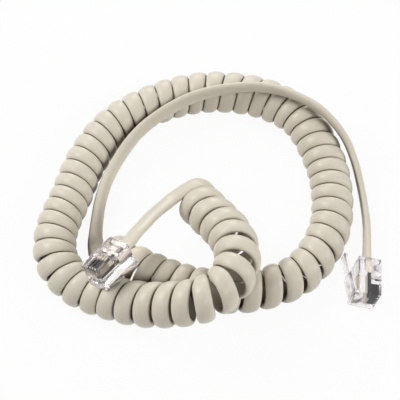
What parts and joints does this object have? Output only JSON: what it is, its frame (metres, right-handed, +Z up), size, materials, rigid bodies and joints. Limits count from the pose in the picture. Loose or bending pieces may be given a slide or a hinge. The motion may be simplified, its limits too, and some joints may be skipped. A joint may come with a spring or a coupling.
{
  "type": "coiled telephone handset cord",
  "caption": "Coiled ivory handset cord lying in a loose loop, with a clear modular plug on each end; the plugs' latches press in.",
  "frame": {"origin": "on the table top, under the middle of the whole cord's box", "axes": "+Z up from the table, +X along the longest side of the loop, towards the plug that touches the table"},
  "size_m": [0.0969, 0.0864, 0.0256],
  "materials": {
    "cord_jacket": "satin",
    "clear_plastic": "clear",
    "gilt_contact": "polished",
    "pale_wire": "satin",
    "black_wire": "satin"
  },
  "bodies": {
    "cord": {"coil": "cord_jacket", "lead_a": "cord_jacket", "lead_b": "cord_jacket", "plug_a_housing": "clear_plastic", "plug_a_jacket_anchor": "clear_plastic", "plug_a_wire_bar": "clear_plastic", "plug_a_contact_1": "gilt_contact", "plug_a_contact_2": "gilt_contact", "plug_a_contact_3": "gilt_contact", "plug_a_contact_4": "gilt_contact", "plug_a_wire_1": "pale_wire", "plug_a_wire_2": "pale_wire", "plug_a_wire_3": "pale_wire", "plug_a_wire_4": "black_wire", "plug_b_housing": "clear_plastic", "plug_b_jacket_anchor": "clear_plastic", "plug_b_wire_bar": "clear_plastic", "plug_b_contact_1": "gilt_contact", "plug_b_contact_2": "gilt_contact", "plug_b_contact_3": "gilt_contact", "plug_b_contact_4": "gilt_contact", "plug_b_wire_1": "black_wire", "plug_b_wire_2": "pale_wire", "plug_b_wire_3": "pale_wire", "plug_b_wire_4": "pale_wire"},
    "plug_a_latch": {"plug_a_latch": "clear_plastic"},
    "plug_b_latch": {"plug_b_latch": "clear_plastic"}
  },
  "joints": [
    {"name": "plug_a_latch_press", "type": "hinge", "parent": "cord", "child": "plug_a_latch", "pos_m": [-0.02847, -0.03146, 0.01627], "axis": [0.6978, -0.5545, 0.4534], "range_deg": [0, 12], "stiffness_Nm_per_rad": 0.05},
    {"name": "plug_b_latch_press", "type": "hinge", "parent": "cord", "child": "plug_b_latch", "pos_m": [0.04009, -0.0294, 0.00612], "axis": [-0.2451, -0.0549, -0.9679], "range_deg": [0, 12], "stiffness_Nm_per_rad": 0.05}
  ]
}
